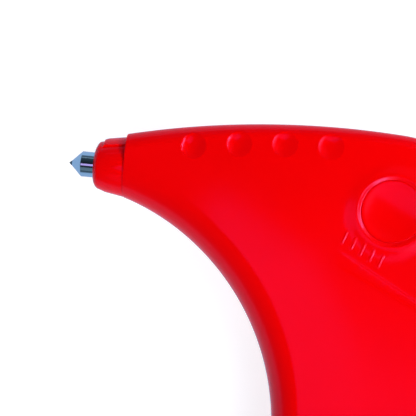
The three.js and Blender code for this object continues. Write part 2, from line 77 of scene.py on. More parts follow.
NOSE_X = 11.0
BACK_X = (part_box("right_shell")[1][0] - TIP.x) / MM
BUTT_Y = (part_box("butt_cap")[0][1] - TIP.y) / MM
CAP_TOP_Y = (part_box("butt_cap")[1][1] - TIP.y) / MM
HALF_THICKNESS = (TIP.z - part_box("right_shell")[0][2]) / MM
NOSE_HALF_THICKNESS = 5.8
WALL = 2.2
PARTING = 0.05
TOP_EDGE = (51.1, -163.0, 174.1)
BACK_CORNER_R = 24.0
FRONT_EDGE = (-1.9, -48.8, 45.1)
FRONT_EDGE_START = radians(73.4)
FULL_THICKNESS_AT = 0.35
NOSE_FRONT_FILLET = 5.7
NOSE_TOP_FILLET = 3.2
FRONT_FILLET = 6.6
TOP_FILLET = 2.5
SHELL_END_Y = CAP_TOP_Y + 0.3
BORE_R = 4.8
MOUTH_R = 5.52
MOUTH_DEPTH = 0.8
LIP = 0.08
SEAM = 0.16


def outline():
    """The outer and the front edge of the body, each as arcs and a line with their lengths."""
    x, y, r = TOP_EDGE
    corner_x = BACK_X - BACK_CORNER_R
    corner_y = y + sqrt((r - BACK_CORNER_R) ** 2 - (corner_x - x) ** 2)
    tangent = math.atan2(corner_y - y, corner_x - x)
    start = math.acos((NOSE_X - x) / r)
    outer = [("arc", x, y, r, start, tangent),
             ("arc", corner_x, corner_y, BACK_CORNER_R, tangent, 0.0),
             ("line", BACK_X, corner_y, BACK_X, BUTT_Y)]
    x, y, r = FRONT_EDGE
    front = [("arc", x, y, r, FRONT_EDGE_START, 0.0), ("line", x + r, y, x + r, BUTT_Y)]
    return outer, front


def stretch_length(stretch):
    if stretch[0] == "arc":
        return stretch[3] * abs(stretch[5] - stretch[4])
    return math.hypot(stretch[3] - stretch[1], stretch[4] - stretch[2])


def along(edge, share):
    """The point at a share of the length of an edge."""
    left = share * sum(stretch_length(stretch) for stretch in edge)
    for stretch in edge:
        length = stretch_length(stretch)
        if left <= length or stretch is edge[-1]:
            part = left / length
            if stretch[0] == "arc":
                angle = stretch[4] + (stretch[5] - stretch[4]) * part
                return Vector((stretch[1] + stretch[3] * cos(angle),
                               stretch[2] + stretch[3] * sin(angle)))
            return Vector((stretch[1], stretch[2])).lerp(Vector((stretch[3], stretch[4])), part)
        left -= length


OUTER_EDGE, INNER_EDGE = outline()

# How the side falls towards an edge: its depth, its width, and the most of the section that
# it may take.
FRONT_CROWN = (1.0, 20.0, 0.62)
TOP_CROWN = (0.4, 10.0, 0.38)

# Shares of a section's run from the front edge over the side to the outer edge: the front
# wall, the front rounding, the side, the top rounding and the top wall.
RUN = (0.0, 0.06, 0.27, 0.81, 0.94, 1.0)


def section_point(share, run, inset=0.0):
    """A point of the body's skin: x and y in the outline's plane, and height from its middle."""
    inner = along(INNER_EDGE, share)
    outer = along(OUTER_EDGE, share)
    across = (outer - inner).normalized()
    width = (outer - inner).length - 2 * inset
    grown = sin(min(share / FULL_THICKNESS_AT, 1.0) * pi / 2)
    half = NOSE_HALF_THICKNESS + (HALF_THICKNESS - NOSE_HALF_THICKNESS) * grown - inset
    front_r = NOSE_FRONT_FILLET + (FRONT_FILLET - NOSE_FRONT_FILLET) * grown - inset
    top_r = NOSE_TOP_FILLET + (TOP_FILLET - NOSE_TOP_FILLET) * grown - inset
    step = next(i for i in range(5) if run <= RUN[i + 1] or i == 4)
    part = (run - RUN[step]) / (RUN[step + 1] - RUN[step])
    if step == 0:
        d, z = 0.0, (half - front_r) * part
    elif step == 1:
        d, z = front_r * (1 - cos(part * pi / 2)), half - front_r * (1 - sin(part * pi / 2))
    elif step == 2:
        d, z = front_r + (width - front_r - top_r) * part, half
    elif step == 3:
        d, z = width - top_r * (1 - sin(part * pi / 2)), half - top_r * (1 - cos(part * pi / 2))
    else:
        d, z = width, (half - top_r) * (1 - part)
    for edge_distance, (depth, crown_width, most) in ((d, FRONT_CROWN), (width - d, TOP_CROWN)):
        reach = min(crown_width, most * width)
        fade = min(z / max(half - max(front_r, top_r), 0.3), 1.0)
        z -= depth * grown * fade * max(0.0, 1 - edge_distance / reach) ** 2
    spot = inner + across * (inset + d)
    return Vector((spot.x, spot.y, z))


def nearest(value, low, high):
    return min(max(value, low), high)


def smooth(part):
    part = nearest(part, 0.0, 1.0)
    return part * part * (3 - 2 * part)


# The dimples' places along the tool, their radii and depths.
DIMPLES = [(24.0, 2.4, 0.52), (32.5, 2.4, 0.46), (41.0, 2.4, 0.4), (49.5, 2.4, 0.35)]
DIMPLE_BELOW_TOP = 3.75
DIMPLE_LEAN = 0.5
DIMPLE_LEAN_WAY = (-0.95, 0.3)
DIMPLE_BOWL = 2.3
DIMPLE_EDGE = 0.14


def top_y(x):
    return TOP_EDGE[1] + sqrt(TOP_EDGE[2] ** 2 - (x - TOP_EDGE[0]) ** 2)


def dimple_depth(x, y):
    """How deep the finger dimples are pressed in: shallow dishes, steeper at the front."""
    deepest = 0.0
    for centre_x, r, depth in DIMPLES:
        dx = x - centre_x
        dy = y - top_y(centre_x) + DIMPLE_BELOW_TOP
        distance = math.hypot(dx, dy)
        if distance < r:
            towards = DIMPLE_LEAN_WAY[1] * dy + DIMPLE_LEAN_WAY[0] * dx
            lean = 1 + DIMPLE_LEAN * towards / r
            dish = depth * (1 - (distance / r) ** DIMPLE_BOWL) * lean
            deepest = max(deepest, dish * smooth((r - distance) / DIMPLE_EDGE + 0.3))
    return deepest


# The rows of the skin and of the hollow inside, the share of the body where the hollow ends
# behind the nose, and about how long the body's edge is.
SKIN_ROWS = 210
INSIDE_ROWS = 36
INSIDE_END_SHARE = 0.09
EDGE_LENGTH = 120
MOUTH_STEP = 0.03


def sheet_columns():
    """The columns of a shell's folded sheet as shares of a section's run, close together at
    the seam and on the roundings."""
    columns = [0.0, 0.0012, 0.0026, 0.0045, 0.008, 0.018, 0.034, 0.048]
    columns += [RUN[1] + (RUN[2] - RUN[1]) * i / 20 for i in range(20)]
    columns += [RUN[2] + (RUN[3] - RUN[2]) * i / 52 for i in range(52)]
    columns += [RUN[3] + (RUN[4] - RUN[3]) * i / 16 for i in range(16)]
    columns += [0.94, 0.955, 0.975, 0.992, 0.9955, 0.9974, 0.9988, 1.0]
    return columns


COLUMNS = sheet_columns()


def sheet_rows():
    """The rows of a shell's folded sheet, from the inside of the grip round the nose to the
    outside of the grip: (share, inset, x shift, radius drawn to or 0, how far drawn)."""
    rows = []
    for i in range(INSIDE_ROWS + 1):
        share = 1.0 + (INSIDE_END_SHARE - 1.0) * i / INSIDE_ROWS
        rows.append((share, WALL, 0.0, BORE_R, 0.0))
    rows.append((0.05, WALL, 0.0, BORE_R, 0.6))
    rows.append((0.0, 0.0, 5.0, BORE_R, 1.0))
    rows.append((0.0, 0.0, MOUTH_DEPTH + 0.02, BORE_R, 1.0))
    rows.append((0.0, 0.0, MOUTH_DEPTH, BORE_R + MOUTH_STEP, 1.0))
    rows.append((0.0, 0.0, MOUTH_DEPTH, MOUTH_R - MOUTH_STEP, 1.0))
    rows.append((0.0, 0.0, MOUTH_DEPTH - MOUTH_STEP, MOUTH_R, 1.0))
    rows.append((0.0, 0.0, 0.06, MOUTH_R, 1.0))
    rows.append((0.0, 0.0, 0.0, MOUTH_R + 0.04, 1.0))
    for i in range(7):
        angle = i / 6 * pi / 2
        rows.append((LIP * (1 - cos(angle)) / EDGE_LENGTH, LIP * (1 - sin(angle)), 0.0, MOUTH_R,
                     0.0))
    first = LIP / EDGE_LENGTH
    for i in range(1, SKIN_ROWS + 1):
        rows.append((first + (1.0 - first) * i / SKIN_ROWS, 0.0, 0.0, MOUTH_R, 0.0))
    return rows


ROWS = sheet_rows()


def sheet_place(u, v, side, relief):
    """Where a vertex of the folded sheet goes: u and v run from 0 to 1 over the grid."""
    column = v * (len(COLUMNS) - 1)
    left = min(int(column), len(COLUMNS) - 2)
    v = COLUMNS[left] + (COLUMNS[left + 1] - COLUMNS[left]) * (column - left)
    row = u * (len(ROWS) - 1)
    low = min(int(row), len(ROWS) - 2)
    share, inset, shift, round_r, drawn = (
        a + (b - a) * (row - low) for a, b in zip(ROWS[low], ROWS[low + 1]))
    spot = section_point(share, v, inset)
    x, y, z = spot.x + shift, spot.y, spot.z
    if drawn > 0:
        distance = max(math.hypot(y, z), 0.01)
        y += (y / distance * round_r - y) * drawn
        z += (z / distance * round_r - z) * drawn
    outside = row > len(ROWS) - 1 - SKIN_ROWS
    if outside:
        z += relief(x, y) * smooth((z - 3) / 2)
    z = max(z, PARTING)
    if outside and z < PARTING + SEAM:
        away = (along(OUTER_EDGE, share) - along(INNER_EDGE, share)).normalized()
        pull = SEAM - sqrt(max(SEAM ** 2 - (PARTING + SEAM - z) ** 2, 0.0))
        pull = pull if v < 0.5 else -pull
        x, y = x + away.x * pull, y + away.y * pull
    return at(x, y, z * side)


def only(*objects):
    """Selects just these objects, the first of them active."""
    bpy.ops.object.select_all(action="DESELECT")
    for item in objects:
        item.select_set(True)
    bpy.context.view_layer.objects.active = objects[0]


def edit(item, mode="VERT"):
    only(item)
    bpy.ops.object.mode_set(mode="EDIT")
    bpy.ops.mesh.select_mode(type=mode)
    bpy.ops.mesh.select_all(action="DESELECT")
    bpy.ops.object.mode_set(mode="OBJECT")


def pick(item, kind, test):
    """Selects the vertices, edges or faces of item that pass a test, and enters edit mode."""
    mode = {"vertices": "VERT", "edges": "EDGE", "polygons": "FACE"}[kind]
    edit(item, mode)
    chosen = [part for part in getattr(item.data, kind) if test(part)]
    for part in chosen:
        part.select = True
    bpy.ops.object.mode_set(mode="EDIT")
    return len(chosen)


def done(item):
    """Leaves edit mode and puts the object's place into its mesh."""
    if bpy.context.mode != "OBJECT":
        bpy.ops.object.mode_set(mode="OBJECT")
    only(item)
    bpy.ops.object.transform_apply(location=True, rotation=True, scale=True)
    return item


def apply_all(item):
    only(item)
    for modifier in list(item.modifiers):
        bpy.ops.object.modifier_apply(modifier=modifier.name)


def carve(item, tools, operation="DIFFERENCE"):
    """Cuts the tools out of item, or joins them to it, and removes them."""
    for tool in tools:
        cut = item.modifiers.new("cut", "BOOLEAN")
        cut.operation = operation
        cut.solver = "EXACT"
        cut.object = tool
        apply_all(item)
        bpy.data.objects.remove(tool)


def outward(item):
    pick(item, "polygons", lambda face: True)
    bpy.ops.mesh.normals_make_consistent(inside=False)
    bpy.ops.object.mode_set(mode="OBJECT")


def rod_tool(centre, r, low, high, sides=64):
    """A cylinder along Z for cutting: centre in millimetres, low and high its heights."""
    bpy.ops.mesh.primitive_cylinder_add(vertices=sides, radius=r * MM, depth=(high - low) * MM,
                                        location=at(centre[0], centre[1], (low + high) / 2))
    return done(bpy.context.object)


def shell(name, side, relief, fine_spots):
    """One shell: a grid laid on the folded sheet, fine where there is relief, then its
    rims closed."""
    bpy.ops.mesh.primitive_grid_add(x_subdivisions=len(ROWS) - 1,
                                    y_subdivisions=len(COLUMNS) - 1, size=1)
    piece = bpy.context.object
    piece.name = name

    def fine(face):
        row = (face.center.x + 0.5) * (len(ROWS) - 1)
        if row < len(ROWS) - 1 - SKIN_ROWS:
            return False
        spot = (sheet_place(face.center.x + 0.5, face.center.y + 0.5, 1, lambda x, y: 0.0)
                - TIP) / MM
        return spot.z > 3 and any(inside(spot.x, spot.y) for inside in fine_spots)

    pick(piece, "polygons", fine)
    bpy.ops.mesh.subdivide(number_cuts=4)
    bpy.ops.object.mode_set(mode="OBJECT")
    for vertex in piece.data.vertices:
        vertex.co = sheet_place(vertex.co.x + 0.5, vertex.co.y + 0.5, side, relief)
    pick(piece, "polygons", lambda face: True)
    bpy.ops.mesh.bisect(plane_co=at(0, SHELL_END_Y, 0), plane_no=(0, 1, 0), clear_inner=True)
    bpy.ops.object.mode_set(mode="OBJECT")
    close_rims(piece, side)
    return piece


def close_rims(piece, side):
    """Fills the butt end between the inner and the outer skin, then the two parting rims."""
    end_y = TIP.y + (SHELL_END_Y + 0.01) * MM
    counts = {}
    for face in piece.data.polygons:
        for key in face.edge_keys:
            counts[key] = counts.get(key, 0) + 1
    height = TIP.z + side * PARTING * MM

    def open_edge(edge):
        return counts[tuple(sorted(edge.vertices))] == 1

    def on_parting(edge):
        return all(abs(piece.data.vertices[i].co.z - height) < 1e-6 for i in edge.vertices)

    def butt_edge(edge):
        return (open_edge(edge) and not on_parting(edge)
                and all(piece.data.vertices[i].co.y < end_y for i in edge.vertices))

    pick(piece, "edges", butt_edge)
    bpy.ops.mesh.bridge_edge_loops()
    bpy.ops.object.mode_set(mode="OBJECT")
    pick(piece, "edges", lambda edge: False)
    bpy.ops.mesh.select_non_manifold(extend=False, use_wire=False, use_boundary=True,
                                     use_multi_face=False, use_non_contiguous=False,
                                     use_verts=False)
    bpy.ops.mesh.edge_face_add()
    bpy.ops.object.mode_set(mode="OBJECT")
    outward(piece)


def dimple_spot(x, y):
    return any(math.hypot(x - cx, y - top_y(cx) + DIMPLE_BELOW_TOP) < r + 0.6
               for cx, r, depth in DIMPLES)


SCREW_PLACES = [((low.x + high.x) / 2, (low.y + high.y) / 2, low.z) for low, high in
                (((Vector(corner) - TIP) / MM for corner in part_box(f"shell_screw_{i}"))
                 for i in range(1, 6))]

COUNTERBORE_R = 2.8
COUNTERBORE_PAST_HEAD = 2.1
SCREW_HOLE_R = 1.7
BELOW_SHELL = -14
right_shell = shell("right_shell_moulding", -1, lambda x, y: -dimple_depth(x, y),
                    [dimple_spot])
carve(right_shell, [rod_tool((x, y), COUNTERBORE_R, BELOW_SHELL, low + COUNTERBORE_PAST_HEAD, 48)
                    for x, y, low in SCREW_PLACES])
carve(right_shell, [rod_tool((x, y), SCREW_HOLE_R, BELOW_SHELL, 0, 32)
                    for x, y, low in SCREW_PLACES])
outward(right_shell)
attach(right_shell, "handle")
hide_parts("right_shell")


def link(tree, kind, inputs=None, **settings):
    """Adds a shader node; inputs holds values, or sockets to connect."""
    node = tree.nodes.new(kind)
    for key, value in settings.items():
        setattr(node, key, value)
    for key, value in (inputs or {}).items():
        if isinstance(value, bpy.types.NodeSocket):
            tree.links.new(value, node.inputs[key])
        else:
            node.inputs[key].default_value = value
    return node


def effect(name, takes, gives):
    """An empty shader node group with named inputs and outputs."""
    tree = bpy.data.node_groups.new(name, "ShaderNodeTree")
    for socket, kind, value in takes:
        made = tree.interface.new_socket(socket, in_out="INPUT", socket_type=kind)
        if value is not None:
            made.default_value = value
    for socket, kind in gives:
        tree.interface.new_socket(socket, in_out="OUTPUT", socket_type=kind)
    return tree, tree.nodes.new("NodeGroupInput").outputs, tree.nodes.new("NodeGroupOutput").inputs


def spread(tree, value, low, high, to_low, to_high):
    """Maps a value's range smoothly to another and clamps it."""
    return link(tree, "ShaderNodeMapRange", {
        "Value": value, "From Min": low, "From Max": high, "To Min": to_low, "To Max": to_high,
    }, interpolation_type="SMOOTHSTEP").outputs["Result"]


def noise(tree, where, scale, detail=3.0, roughness=0.5):
    return link(tree, "ShaderNodeTexNoise", {
        "Vector": where, "Scale": scale, "Detail": detail, "Roughness": roughness,
    }).outputs["Fac"]


# Unevenness that every moulded or machined surface has: a fine grain, and a slow cloudiness.
GRAIN, grain_in, grain_out = effect(
    "surface_grain", [("Coordinates", "NodeSocketVector", None),
                      ("Grain size mm", "NodeSocketFloat", 0.2)],
    [("Grain", "NodeSocketFloat"), ("Cloud", "NodeSocketFloat")])
grain_scale = link(GRAIN, "ShaderNodeMath", {0: 1000.0, 1: grain_in["Grain size mm"]},
                   operation="DIVIDE").outputs[0]
grain_place = link(GRAIN, "ShaderNodeVectorMath",
                   {0: grain_in["Coordinates"], "Scale": grain_scale},
                   operation="SCALE").outputs[0]
GRAIN.links.new(noise(GRAIN, grain_place, 1.0, 4.0, 0.6), grain_out["Grain"])
GRAIN.links.new(noise(GRAIN, grain_in["Coordinates"], 90.0, 3.0), grain_out["Cloud"])

# Hair-fine scratches of handling in two directions, in patches.
HAIRLINES, hair_in, hair_out = effect(
    "hairline_scratches", [("Coordinates", "NodeSocketVector", None)],
    [("Scratches", "NodeSocketFloat")])
hair_lines = []
for turn, length in ((0.5, 0.08), (-0.9, 0.05)):
    turned_place = link(HAIRLINES, "ShaderNodeMapping",
                        {"Vector": hair_in["Coordinates"], "Rotation": (0.2, 0.1, turn),
                         "Scale": (9000 * length, 9000, 9000)}).outputs[0]
    hair_lines.append(spread(HAIRLINES, noise(HAIRLINES, turned_place, 0.6, 1.0),
                             0.68, 0.76, 0.0, 1.0))
hair_patches = spread(HAIRLINES, noise(HAIRLINES, hair_in["Coordinates"], 140.0, 2.0),
                      0.5, 0.7, 0.0, 1.0)
both_lines = link(HAIRLINES, "ShaderNodeMath", {0: hair_lines[0], 1: hair_lines[1]},
                  operation="MAXIMUM").outputs[0]
HAIRLINES.links.new(link(HAIRLINES, "ShaderNodeMath", {0: both_lines, 1: hair_patches},
                         operation="MULTIPLY").outputs[0], hair_out["Scratches"])


def surface(name, colours, roughness, grain_mm, bump, scratches=0.3, metallic=0.0, ior=1.5):
    """A material with two colours clouded together, grain, and fine scratches. Roughness is
    a low and a high value, bump a height in millimetres."""
    material = bpy.data.materials.new(name)
    material.use_nodes = True
    tree = material.node_tree
    shader = tree.nodes["Principled BSDF"]
    place = link(tree, "ShaderNodeTexCoord").outputs["Object"]
    grain = link(tree, "ShaderNodeGroup", {}, node_tree=GRAIN)
    tree.links.new(place, grain.inputs["Coordinates"])
    grain.inputs["Grain size mm"].default_value = grain_mm
    hairs = link(tree, "ShaderNodeGroup", {}, node_tree=HAIRLINES)
    tree.links.new(place, hairs.inputs["Coordinates"])
    cloud = spread(tree, grain.outputs["Cloud"], 0.3, 0.7, 0.0, 1.0)
    colour = link(tree, "ShaderNodeMix", {"Factor": cloud, 6: (*colours[0], 1),
                                          7: (*colours[1], 1)}, data_type="RGBA").outputs[2]
    tree.links.new(colour, shader.inputs["Base Color"])
    rough = spread(tree, grain.outputs["Cloud"], 0.3, 0.7, roughness[0], roughness[1])
    scratched = link(tree, "ShaderNodeMath", {0: hairs.outputs["Scratches"], 1: scratches,
                                              2: rough}, operation="MULTIPLY_ADD").outputs[0]
    tree.links.new(scratched, shader.inputs["Roughness"])
    height = link(tree, "ShaderNodeMath", {0: hairs.outputs["Scratches"], 1: -0.5,
                                           2: grain.outputs["Grain"]},
                  operation="MULTIPLY_ADD").outputs[0]
    relief = link(tree, "ShaderNodeBump", {"Height": height, "Strength": 1.0,
                                           "Distance": bump * MM}).outputs[0]
    tree.links.new(relief, shader.inputs["Normal"])
    shader.inputs["Metallic"].default_value = metallic
    shader.inputs["IOR"].default_value = ior
    return material


def coat(piece, material):
    """Gives the piece its one material."""
    piece.data.materials.clear()
    piece.data.materials.append(material)


def soften(piece, angle=30):
    only(piece)
    bpy.ops.object.shade_smooth_by_angle(angle=radians(angle))


RED_TINT = (0.4, 0.3, 1, 1)
RED = surface("red_abs", ((0.83, 0.0002, 0.0006), (0.81, 0.0002, 0.0004)), (0.13, 0.145), 0.12,
              0.0004, 0.08, ior=1.31)
RED.node_tree.nodes["Principled BSDF"].inputs["Specular Tint"].default_value = RED_TINT
coat(right_shell, RED)
soften(right_shell)

# ---- collet sleeve, spring seat, thrust block and thrust pad ----
# Turned and milled pieces that drop into the right shell: a brass sleeve that the collet is
# pushed into, a nylon cup for the spring, and a brass block with a hardened pad for the bit.

BRASS = surface("brass", ((0.70, 0.50, 0.20), (0.62, 0.43, 0.16)), (0.25, 0.36), 0.08, 0.001,
                0.2, 1.0)
HARD_STEEL = surface("hard_steel", ((0.36, 0.37, 0.39), (0.30, 0.31, 0.33)), (0.28, 0.4), 0.06,
                     0.001, 0.2, 1.0)
DARK_PLASTIC = surface("black_nylon", ((0.022, 0.022, 0.025), (0.03, 0.03, 0.034)),
                       (0.45, 0.58), 0.15, 0.004, 0.15)
for cad_name, finish in (("collet_sleeve", BRASS), ("thrust_block", BRASS),
                         ("thrust_pad", HARD_STEEL), ("spring_seat", DARK_PLASTIC)):
    coat(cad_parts[cad_name], finish)

# ---- button spring and tray spring ----
# Spring steel wire wound in three turns under the lock plate, and a bent strip that lies in
# the back of the grip and holds the tray by friction.

for cad_name in ("button_spring", "tray_spring"):
    coat(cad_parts[cad_name], HARD_STEEL)

# ---- lock plate ----
# A stamped steel plate with an oblong slot; its legs are staked to the button above it.

STEEL = surface("bright_steel", ((0.56, 0.58, 0.61), (0.50, 0.52, 0.56)), (0.2, 0.3), 0.06,
                0.0008, 0.2, 1.0)
coat(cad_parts["lock_plate"], STEEL)

# ---- thumb button ----
# A moulded red button, dished for the thumb. Its flange keeps it under the left shell.


def turned(name, stations, axis, sides=96, tube=False):
    """A body of revolution from a circle extruded through (place, radius) stations in
    millimetres along its axis, which starts at a point in the frame. A tube is closed on
    itself, anything else by its two end faces."""
    origin, direction = axis
    quarter = Vector((0, 0, 1)).rotation_difference(direction)
    first, r = stations[0]
    bpy.ops.mesh.primitive_circle_add(vertices=sides, radius=r * MM,
                                      fill_type="NOTHING" if tube else "NGON",
                                      location=origin + direction * first * MM,
                                      rotation=quarter.to_euler())
    piece = bpy.context.object
    piece.name = name
    bpy.ops.object.transform_apply(location=True, rotation=True, scale=True)
    pick(piece, "vertices", lambda vertex: True)
    for (near, near_r), (far, far_r) in zip(stations, stations[1:]):
        bpy.ops.mesh.extrude_region_move(
            TRANSFORM_OT_translate={"value": direction * (far - near) * MM})
        grow = far_r / near_r
        bpy.ops.transform.resize(value=(grow, grow, grow),
                                 center_override=origin + direction * far * MM)
    bpy.ops.object.mode_set(mode="OBJECT")
    if tube:
        count = len(piece.data.vertices)
        pick(piece, "vertices", lambda vertex: (vertex.index < sides
                                                or vertex.index >= count - sides))
        bpy.ops.mesh.bridge_edge_loops()
        bpy.ops.object.mode_set(mode="OBJECT")
    outward(piece)
    return piece


def rounded(profile, r, steps=3):
    """The profile with each corner sharper than 20 degrees cut by an arc of radius r."""
    made = [profile[0]]
    for before, corner, after in zip(profile, profile[1:], profile[2:]):
        here, a, b = Vector(corner), Vector(before), Vector(after)
        if (a - here).angle(b - here) > radians(160):
            made.append(corner)
            continue
        reach = min(r, (a - here).length * 0.45, (b - here).length * 0.45)
        start, end = here + (a - here).normalized() * reach, here + (b - here).normalized() * reach
        for i in range(steps + 1):
            part = i / steps
            spot = start.lerp(here, part).lerp(here.lerp(end, part), part)
            made.append(tuple(spot))
    made.append(profile[-1])
    return made


ALONG_X = Vector((1, 0, 0))
ALONG_Y = Vector((0, 1, 0))
ALONG_Z = Vector((0, 0, 1))
BUTTON_LOW, BUTTON_HIGH = ((Vector(corner) - TIP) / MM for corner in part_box("thumb_button"))
BUTTON = ((BUTTON_LOW.x + BUTTON_HIGH.x) / 2, (BUTTON_LOW.y + BUTTON_HIGH.y) / 2)
BUTTON_R = 5.74
FLANGE_R = 6.48
FLANGE_TOP_Z = BUTTON_LOW.z + 1.2
BUTTON_NECK_R = 5.45
BUTTON_NECK_TOP_Z = 9.6
BUTTON_RIM_WIDTH = 0.4
BUTTON_RIM_FALL = 0.03
DISH_STEPS = 16
BUTTON_DISH = 0.5
BUTTON_RIM_Z = HALF_THICKNESS + 0.2

button_profile = rounded([
    (BUTTON_LOW.z, 0.4), (BUTTON_LOW.z, FLANGE_R), (FLANGE_TOP_Z, FLANGE_R),
    (FLANGE_TOP_Z, BUTTON_NECK_R), (BUTTON_NECK_TOP_Z, BUTTON_NECK_R),
    (BUTTON_NECK_TOP_Z + 0.6, BUTTON_R), (BUTTON_RIM_Z, BUTTON_R),
    (BUTTON_RIM_Z - BUTTON_RIM_FALL, BUTTON_R - BUTTON_RIM_WIDTH)], 0.06)
for i in range(1, DISH_STEPS + 1):
    share = i / DISH_STEPS
    button_profile.append((BUTTON_RIM_Z - BUTTON_RIM_FALL - BUTTON_DISH * share * (2 - share),
                           max((BUTTON_R - BUTTON_RIM_WIDTH) * (1 - share), 0.06)))
thumb_button = turned("thumb_button_moulding", button_profile, (at(*BUTTON, 0), ALONG_Z), 128)
coat(thumb_button, RED)
soften(thumb_button, 40)
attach(thumb_button, "button")
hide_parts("thumb_button")

# ---- bit shank ----
# Ground and polished tool steel rod with a 90 degree cone turned on its front end, a groove
# for the lock plate near its back end, and a chamfered tail.

SHANK_R = (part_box("bit_shank")[1][2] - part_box("bit_shank")[0][2]) / MM / 2
SHANK_END_X = (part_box("bit_shank")[1][0] - TIP.x) / MM
CONE_BASE_X = 2.35
POINT_R = 0.45
POINT_LENGTH = 3.5
SHANK_SKIN_R = SHANK_R - 0.005
GROOVE_DEPTH = 0.5
GROOVE_X = (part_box("lock_plate")[0][0] - TIP.x) / MM - 0.2

shank_profile = rounded([
    (POINT_LENGTH + 0.1, 0.1), (POINT_LENGTH + 0.1, POINT_R + 0.05),
    (POINT_R + 0.1, POINT_R + 0.05), (CONE_BASE_X, CONE_BASE_X - 0.05),
    (CONE_BASE_X + 0.12, SHANK_SKIN_R), (40, SHANK_SKIN_R), (GROOVE_X, SHANK_SKIN_R),
    (GROOVE_X + 0.4, SHANK_R - GROOVE_DEPTH), (GROOVE_X + 1.5, SHANK_R - GROOVE_DEPTH),
    (GROOVE_X + 1.9, SHANK_SKIN_R), (SHANK_END_X - 0.5, SHANK_SKIN_R),
    (SHANK_END_X, SHANK_R - 0.5), (SHANK_END_X, 0.1)], 0.04)
bit_shank = turned("bit_shank_turning", shank_profile, (TIP, ALONG_X), 128)


def turned_steel(name, colours, roughness, ring_mm):
    """Polished steel with the fine rings that turning and polishing leave round it."""
    material = surface(name, colours, roughness, 0.05, 0.0004, 0.15, 1.0)
    tree = material.node_tree
    shader = tree.nodes["Principled BSDF"]
    place = link(tree, "ShaderNodeTexCoord").outputs["Object"]
    rings_place = link(tree, "ShaderNodeMapping", {
        "Vector": place, "Scale": (1000 / ring_mm, 25, 25)}).outputs[0]
    rings = noise(tree, rings_place, 1.0, 2.0)
    fine = link(tree, "ShaderNodeBump", {
        "Height": rings, "Strength": 0.6, "Distance": 0.0006 * MM,
        "Normal": shader.inputs["Normal"].links[0].from_socket}).outputs[0]
    tree.links.new(fine, shader.inputs["Normal"])
    return material


SHANK_STEEL = turned_steel("polished_shank_steel", ((0.52, 0.74, 0.88), (0.46, 0.68, 0.83)),
                           (0.06, 0.1), 0.12)
coat(bit_shank, SHANK_STEEL)
soften(bit_shank, 25)
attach(bit_shank, "bit")
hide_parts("bit_shank")

# ---- carbide point ----
# A small rod of sintered carbide brazed into the shank, ground to a 90 degree point.

point_profile = [(0.03, 0.03)]
point_profile += rounded([(0.03, 0.03), (POINT_R, POINT_R - 0.005),
                          (POINT_LENGTH, POINT_R - 0.005), (POINT_LENGTH, 0.05)], 0.03)[1:]
carbide_point = turned("carbide_point_grinding", point_profile, (TIP, ALONG_X), 64)
CARBIDE = surface("carbide", ((0.055, 0.16, 0.21), (0.04, 0.11, 0.15)), (0.3, 0.42), 0.05,
                  0.002, 0.1, 0.7)
coat(carbide_point, CARBIDE)
soften(carbide_point, 25)
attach(carbide_point, "bit")
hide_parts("carbide_point")

# ---- collet and its clip ----
# A split steel collet that the collar squeezes on the bit, and a wire clip that keeps the
# collar on it.

coat(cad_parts["collet"], STEEL)
coat(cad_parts["collar_clip"], HARD_STEEL)

# ---- nose collar and its O-ring ----
# The red collar turns a quarter turn on the collet. It has a raised thumb pad on the top, a
# stepped front, and a rubber ring in a seat on its spigot that gives the turn some drag.

COLLAR_X = [(corner[0] - TIP.x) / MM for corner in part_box("nose_collar")]
COLLAR_BACK_X = 10.8
COLLAR_BACK_R = 5.49
COLLAR_TUCK_X = 11.7
COLLAR_BORE_R = 3.6
BIT_HOLE_R = 2.7
BIT_HOLE_END_X = 7.1
SPIGOT_R = 4.5
RING_SEAT_X = (12.4, 13.6)
RING_SEAT_R = 3.95
collar_profile = rounded([
    (COLLAR_X[0], BIT_HOLE_R), (COLLAR_X[0], 3.3), (5.3, 3.98), (5.75, 4.38), (6.4, 4.58),
    (7.4, 4.93), (COLLAR_BACK_X, COLLAR_BACK_R), (COLLAR_TUCK_X, COLLAR_BACK_R),
    (COLLAR_TUCK_X, SPIGOT_R), (RING_SEAT_X[0], SPIGOT_R), (RING_SEAT_X[0], RING_SEAT_R),
    (RING_SEAT_X[1], RING_SEAT_R), (RING_SEAT_X[1], SPIGOT_R), (COLLAR_X[1], SPIGOT_R),
    (COLLAR_X[1], COLLAR_BORE_R), (BIT_HOLE_END_X, COLLAR_BORE_R),
    (BIT_HOLE_END_X, BIT_HOLE_R)], 0.25)
nose_collar = turned("nose_collar_moulding", collar_profile, (TIP, ALONG_X), 128, tube=True)
pad = turned("pad", rounded([
    (5.3, 3.5), (5.3, 4.05), (5.65, 4.48), (6.45, 4.7), (6.6, 5.1), (7.4, 5.34), (10.96, 5.9),
    (10.96, 4.3)], 0.12), (TIP, ALONG_X), 128, tube=True)
PAD_HALF_ANGLE = radians(49)
for turn in (1, -1):
    pick(pad, "polygons", lambda face: True)
    bpy.ops.mesh.bisect(plane_co=TIP, clear_outer=True, use_fill=True,
                        plane_no=(0, -cos(PAD_HALF_ANGLE), turn * sin(PAD_HALF_ANGLE)))
    bpy.ops.object.mode_set(mode="OBJECT")
carve(nose_collar, [pad], "UNION")
outward(nose_collar)
coat(nose_collar, RED)
soften(nose_collar, 35)
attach(nose_collar, "collar")
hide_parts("nose_collar")

RUBBER = surface("black_rubber", ((0.016, 0.016, 0.017), (0.024, 0.024, 0.025)), (0.6, 0.75),
                 0.1, 0.006, 0.1)
coat(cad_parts["collar_o_ring"], RUBBER)

# ---- left shell ----
# The upper half of the handle, with the hole for the button, a raised ring round it, the
# finger dimples, and a slanted shallow band under five raised strokes, all moulded in.

